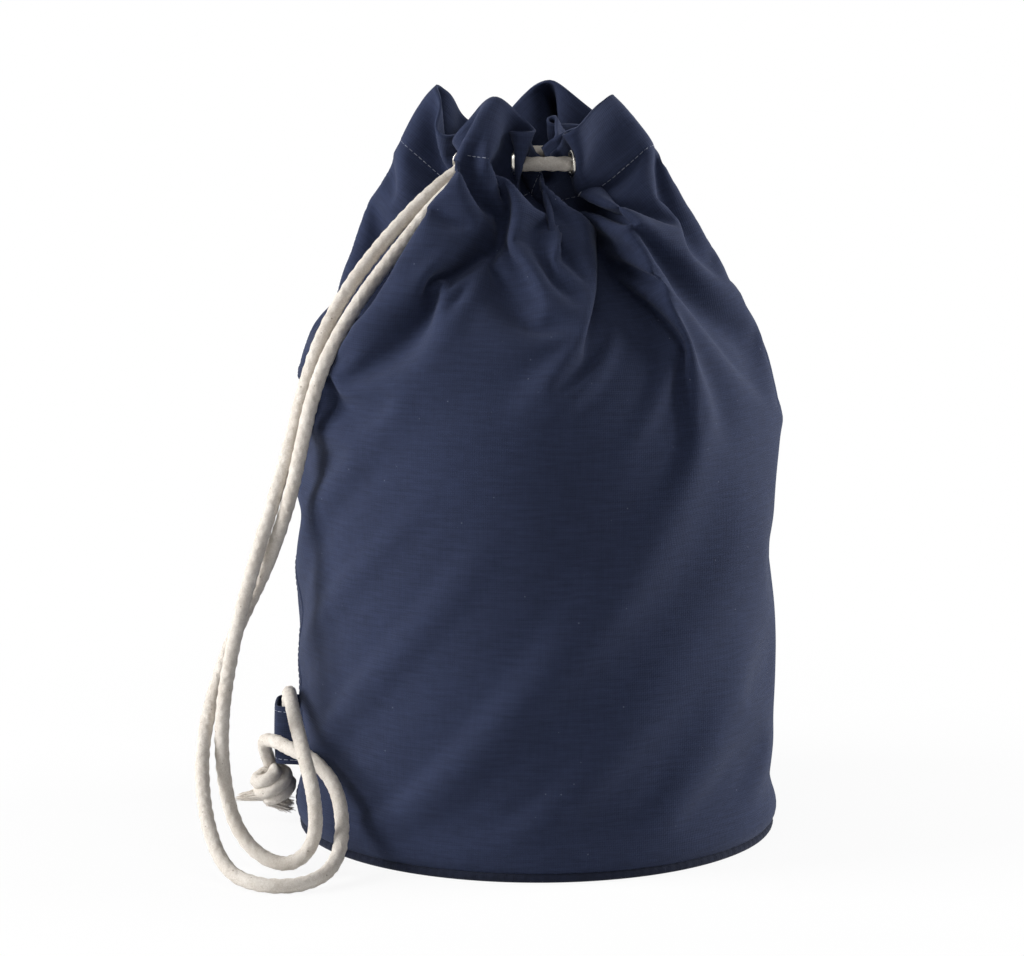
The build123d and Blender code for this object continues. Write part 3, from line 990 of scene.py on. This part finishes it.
stitchSet = {
    "length": 2.7 * mm,
    "gap": 0.8 * mm,
    "thread": 0.36 * mm,
    "hemLifts": (0.55 * mm, -0.75 * mm),  # outside and inside the bag, from the middle of the cloth
    "tabLift": 0.05 * mm,
    # A stitch dips into the cloth at both ends: share of its length, rise, thickness
    "profile": ((0, -0.35, 0.5), (0.16, 0.35, 1), (0.5, 0.6, 1), (0.84, 0.35, 1), (1, -0.35, 0.5)),
}


def unwrap(piece, flat):
    # Where each point lies on the flat cloth, in metres, so that the weave follows it
    layer = piece.data.uv_layers.new(name="cloth")
    for loop, spot in zip(piece.data.loops, layer.data):
        spot.uv = flat[loop.vertex_index]


def clothNormals(shape):
    around = np.roll(shape, -1, 1) - np.roll(shape, 1, 1)
    upward = np.gradient(shape, axis=0)
    normals = np.cross(around, upward)
    return normals / np.maximum(np.linalg.norm(normals, axis=2), 1e-9)[..., None]


def onCloth(grid, shape, normals, around, along, lift):
    # A point on the cloth at a distance round and up it, raised from its middle
    column = around / grid.stepAround
    row = min(max(along / grid.stepUp, 0), grid.rows - 1.001)
    c = int(column // 1)
    r = int(row)
    s = column - c
    t = row - r
    corner = [(r, c % grid.columns, (1 - s) * (1 - t)), (r, (c + 1) % grid.columns, s * (1 - t)),
              (r + 1, c % grid.columns, (1 - s) * t), (r + 1, (c + 1) % grid.columns, s * t)]
    place = sum(shape[i, j] * w for i, j, w in corner)
    normal = sum(normals[i, j] * w for i, j, w in corner)
    normal /= np.linalg.norm(normal)
    return place + normal * lift, normal


def addStitch(vertices, faces, start, end, normal):
    radius = stitchSet["thread"] / 2
    along = (end - start) / np.linalg.norm(end - start)
    across = np.cross(normal, along)
    faces += tubeFaces(len(stitchSet["profile"]), 6, len(vertices))
    for share, rise, thickness in stitchSet["profile"]:
        middle = start + (end - start) * share + normal * rise * radius
        for side in range(6):
            angle = tau * side / 6
            vertices.append(middle + (across * cos(angle) + normal * sin(angle)) * radius * thickness)


def stitchPiece(name, lines, material, body):
    # Each line is a list of (place, normal) pairs, stitched from one to the next
    vertices = []
    faces = []
    for line in lines:
        for (start, normal), (end, _) in zip(line[::2], line[1::2]):
            addStitch(vertices, faces, start, end, normal)
    piece = newObject(name, vertices, faces, material)
    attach(piece, body)
    return piece


def stitchMarks(total):
    # Where each stitch starts and ends along a length
    marks = []
    place = 0.0
    while place + stitchSet["length"] < total:
        marks += [place, place + stitchSet["length"]]
        place += stitchSet["length"] + stitchSet["gap"]
    return marks


def hemStitches(grid, shape, normals, material):
    # One row that shows on both sides of the cloth
    along = bagSet["height"] - bagSet["hemDepth"]
    lines = []
    for lift in stitchSet["hemLifts"]:
        spots = [onCloth(grid, shape, normals, mark, along, lift) for mark in stitchMarks(bagSet["girth"])]
        lines.append([(place, normal if lift > 0 else -normal) for place, normal in spots])
    stitchPiece("hemStitches", lines, material, "bag")


seamSet = {
    "angle": 181,  # where the wall's two edges are joined, behind the tab
    "width": 9 * mm,
    "lift": 0.9 * mm,
    "stitchInset": 1.6 * mm,
    "stitchStart": 0.008,
    "stitched": 0.445,
    "rows": 170,
    # Across half the band: share of the half width, share of the lift
    "outline": ((-1, 0.30), (-0.97, 0.75), (-0.88, 1), (-0.45, 1.05), (0, 1.08)),
}


def sideSeam(grid, shape, normals, canvas, thread):
    # A felled seam: a narrow raised band of doubled cloth with two rows of stitches
    middle = seamSet["angle"] / 360 * bagSet["girth"]
    half = seamSet["width"] / 2
    outline = [*seamSet["outline"], *((-x, rise) for x, rise in seamSet["outline"][-2::-1]), (1, 0), (-1, 0)]
    alongs = np.linspace(bagSet["seamHeight"], bagSet["height"] - 0.6 * mm, seamSet["rows"])
    vertices = [onCloth(grid, shape, normals, middle + x * half, along, seamSet["lift"] * rise)[0]
                for along in alongs for x, rise in outline]
    band = newObject("sideSeam", vertices, tubeFaces(len(alongs), len(outline)), canvas)
    unwrap(band, [((x + 1) * half, along) for along in alongs for x, _ in outline])
    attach(band, "bag")
    lift = seamSet["lift"] * 1.05
    lines = []
    for side in (-1, 1):
        place = middle + side * (half - seamSet["stitchInset"])
        lines.append([onCloth(grid, shape, normals, place, seamSet["stitchStart"] + mark, lift)
                      for mark in stitchMarks(seamSet["stitched"])])
    stitchPiece("seamStitches", lines, thread, "bag")


weltSet = {
    "radius": 0.1368,
    "height": 2.6 * mm,
    "thickness": 2.5 * mm,
    "puckers": 150,
    "unevenness": 61,  # slower waves, so that no two puckers are alike
    "puckerDepth": 0.13 * mm,
    "around": 900,
    "across": 14,
}


def makeWelt(material):
    # Piping round the base seam, drawn in a little between its stitches
    low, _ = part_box("base_welt")
    vertices = []
    for k in range(weltSet["around"]):
        turn = tau * k / weltSet["around"]
        waves = sin(weltSet["puckers"] * turn) + 0.6 * sin(weltSet["unevenness"] * turn + 1)
        for m in range(weltSet["across"]):
            angle = tau * m / weltSet["across"]
            radius = weltSet["thickness"] + weltSet["puckerDepth"] * waves * max(0, cos(angle - 0.6))
            out = weltSet["radius"] + radius * cos(angle)
            rise = max(low.z, weltSet["height"] + radius * sin(angle) * 1.02)
            vertices.append((out * cos(turn), out * sin(turn), rise))
    index = np.arange(len(vertices)).reshape(weltSet["around"], -1)
    following = np.roll(index, -1, 0)
    faces = np.stack([index, following, np.roll(following, -1, 1), np.roll(index, -1, 1)], -1)
    piece = newObject("baseWelt", vertices, faces.reshape(-1, 4), material)
    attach(piece, "bag")
    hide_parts("base_welt")


tabSet = {
    "low": 0.037,
    "high": 0.0715,
    "middle": 0.002,
    "outside": -0.1534,
    "frontHalf": 0.0125,
    "footHalf": 0.018,
    "foot": 0.007,  # how far each end lies flat on the wall
    "cornerDepth": 0.004,
    "cornerWidth": 0.0035,
    "crown": 0.6 * mm,
    "offWall": 1.1 * mm,
    "thickness": 1.5 * mm,
    "edge": 0.45 * mm,
    "bow": 0.5 * mm,
    "ripple": 0.3 * mm,
    "rippleRate": 160,  # radians per metre
    "spacing": 1.2 * mm,
    "stitchInset": 3 * mm,
    "rows": 22,
}


def makeTab(canvas, thread):
    # A folded strip of canvas: flat on the wall, out, across, and back to the wall
    wall = bagSet["radius"] + tabSet["offWall"]
    foot = (tabSet["footHalf"] + tabSet["foot"]) / wall
    near = tabSet["footHalf"] / wall
    out = tabSet["outside"] + tabSet["thickness"] / 2
    half = [(-wall * cos(angle), wall * sin(angle)) for angle in (foot, (foot + near) / 2, near)]
    half.append((out + tabSet["cornerDepth"], tabSet["frontHalf"] + tabSet["cornerWidth"]))
    half.append((out, tabSet["frontHalf"]))
    corners = [(x, -y) for x, y in half] + [(out - tabSet["crown"], 0)] + half[::-1]
    line = splinePoints("tabLine", [(x, tabSet["middle"] + y, 0) for x, y in corners])
    line, distance = evenPoints(line, tabSet["spacing"])
    tall = tabSet["high"] - tabSet["low"]
    shares = np.linspace(0, 1, tabSet["rows"])
    vertices = []
    for share in shares:
        for point, along in zip(line, distance):
            bow = tabSet["bow"] * sin(pi * share) * sin(pi * along / distance[-1]) ** 2
            rise = tabSet["low"] + tall * share + tabSet["ripple"] * sin(along * tabSet["rippleRate"])
            vertices.append((point[0] - bow, point[1], rise))
    index = np.arange(len(vertices)).reshape(tabSet["rows"], -1)
    faces = np.stack([index[:-1, :-1], index[1:, :-1], index[1:, 1:], index[:-1, 1:]], -1)
    piece = newObject("cordTab", vertices, faces.reshape(-1, 4), canvas)
    unwrap(piece, [(along, share * tall) for share in shares for along in distance])
    thick = piece.modifiers.new("thickness", "SOLIDIFY")
    thick.thickness = tabSet["thickness"]
    thick.offset = 0
    soften = piece.modifiers.new("edges", "BEVEL")
    soften.width = tabSet["edge"]
    soften.segments = 2
    applyModifiers(piece)
    piece.data.shade_smooth()
    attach(piece, "bag")
    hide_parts("cord_tab")
    # The stitches face away from the bag, along both edges of the strip
    outward = np.cross((0, 0, 1), turningFrames(line)[0])
    outward = np.where(outward[:, :1] > 0, -outward, outward)
    lift = tabSet["thickness"] / 2 + stitchSet["tabLift"]
    spots = np.searchsorted(distance, stitchMarks(distance[-1]))
    lines = []
    for height in (tabSet["low"] + tabSet["stitchInset"], tabSet["high"] - tabSet["stitchInset"]):
        lines.append([(line[k] + (0, 0, height) + outward[k] * lift, outward[k]) for k in spots])
    stitchPiece("tabStitches", lines, thread, "bag")
    print("tab made")


grid, shape = drapeBag()
bagMesh(grid, shape, canvas)
normals = clothNormals(shape)
hemStitches(grid, shape, normals, paleThread)
sideSeam(grid, shape, normals, canvas, navyThread)
makeWelt(weltCanvas)
makeTab(tabCanvas, paleThread)
finishes = {"base_panel": baseCanvas}
for number in eyeletOrder:
    finishes[f"eyelet_{number}"] = plating
    finishes[f"eyelet_washer_{number}"] = plating
for name, finish in finishes.items():
    nodes[name].data.materials.clear()
    nodes[name].data.materials.append(finish)
print("bag, seams, welt and tab made")


stageSet = {
    "colour": "#f2f2f2",
    "half": 3,
    "shadowShare": 0.10,  # how much of the floor's own light and shade shows near the bag
    "near": 0.22,
    "far": 0.62,  # from here on the floor is as white as what is behind it
    "ambient": 0.08,
}
lampSet = {
    "left": {"place": (-1.6, -0.3, 0.75), "size": 0.9, "power": 37},
    "right": {"place": (1.6, 0.3, 0.75), "size": 0.9, "power": 31},
    "top": {"place": (0.1, -0.5, 2.1), "size": 1.2, "power": 9},
}
lampAim = (0, 0, 0.2)


def whiteRays(tree):
    # 1 for what is seen directly, in a shiny surface or through a clear one
    rays = addNode(tree, "LightPath")
    seen = addNode(tree, "Math", {"operation": "MAXIMUM"}, i0=rays.outputs["Is Camera Ray"],
                   i1=rays.outputs["Is Glossy Ray"])
    return addNode(tree, "Math", {"operation": "MAXIMUM"}, i0=seen,
                   i1=rays.outputs["Is Transmission Ray"]).outputs[0]


def makeStage():
    half = stageSet["half"]
    floor = newObject("floor", [(-half, -half, 0), (half, -half, 0), (half, half, 0), (-half, half, 0)],
                      [(0, 1, 2, 3)])
    material, tree, shader = newMaterial("paleFloor", Base_Color=linear(stageSet["colour"]), Roughness=0.8)
    place = addNode(tree, "TexCoord").outputs["Object"]
    away = addNode(tree, "VectorMath", {"operation": "LENGTH"}, i0=place)
    bare = addNode(tree, "MapRange", {"interpolation_type": "SMOOTHSTEP"},
                   i0=away.outputs["Value"], i1=stageSet["near"], i2=stageSet["far"],
                   i3=1 - stageSet["shadowShare"], i4=1.0)
    share = addNode(tree, "Math", {"operation": "MULTIPLY"}, i0=whiteRays(tree), i1=bare)
    white = addNode(tree, "Emission", Color=(1, 1, 1, 1), Strength=1.0)
    mix = addNode(tree, "MixShader", i0=share, i1=shader, i2=white)
    tree.links.new(mix.outputs[0], tree.nodes["Material Output"].inputs["Surface"])
    floor.data.materials.append(material)


def makeWorld():
    world = bpy.data.worlds.new("studio")
    bpy.context.scene.world = world
    world.use_nodes = True
    tree = world.node_tree
    background = tree.nodes["Background"]
    strength = addNode(tree, "MapRange", i0=whiteRays(tree), i1=0.0, i2=1.0,
                       i3=stageSet["ambient"], i4=1.0)
    setInputs(tree, background, {"Color": (1, 1, 1, 1), "Strength": strength})


def makeLamps():
    for name, values in lampSet.items():
        data = bpy.data.lights.new(name, "AREA")
        data.size = values["size"]
        data.energy = values["power"]
        lamp = bpy.data.objects.new(name, data)
        lamp.location = values["place"]
        gaze = Vector(lampAim) - Vector(values["place"])
        lamp.rotation_euler = gaze.to_track_quat("-Z", "Y").to_euler()
        bpy.context.scene.collection.objects.link(lamp)


makeStage()
makeWorld()
makeLamps()
print("floor, world and lamps made")
bpy.context.scene.view_settings.view_transform = "Standard"
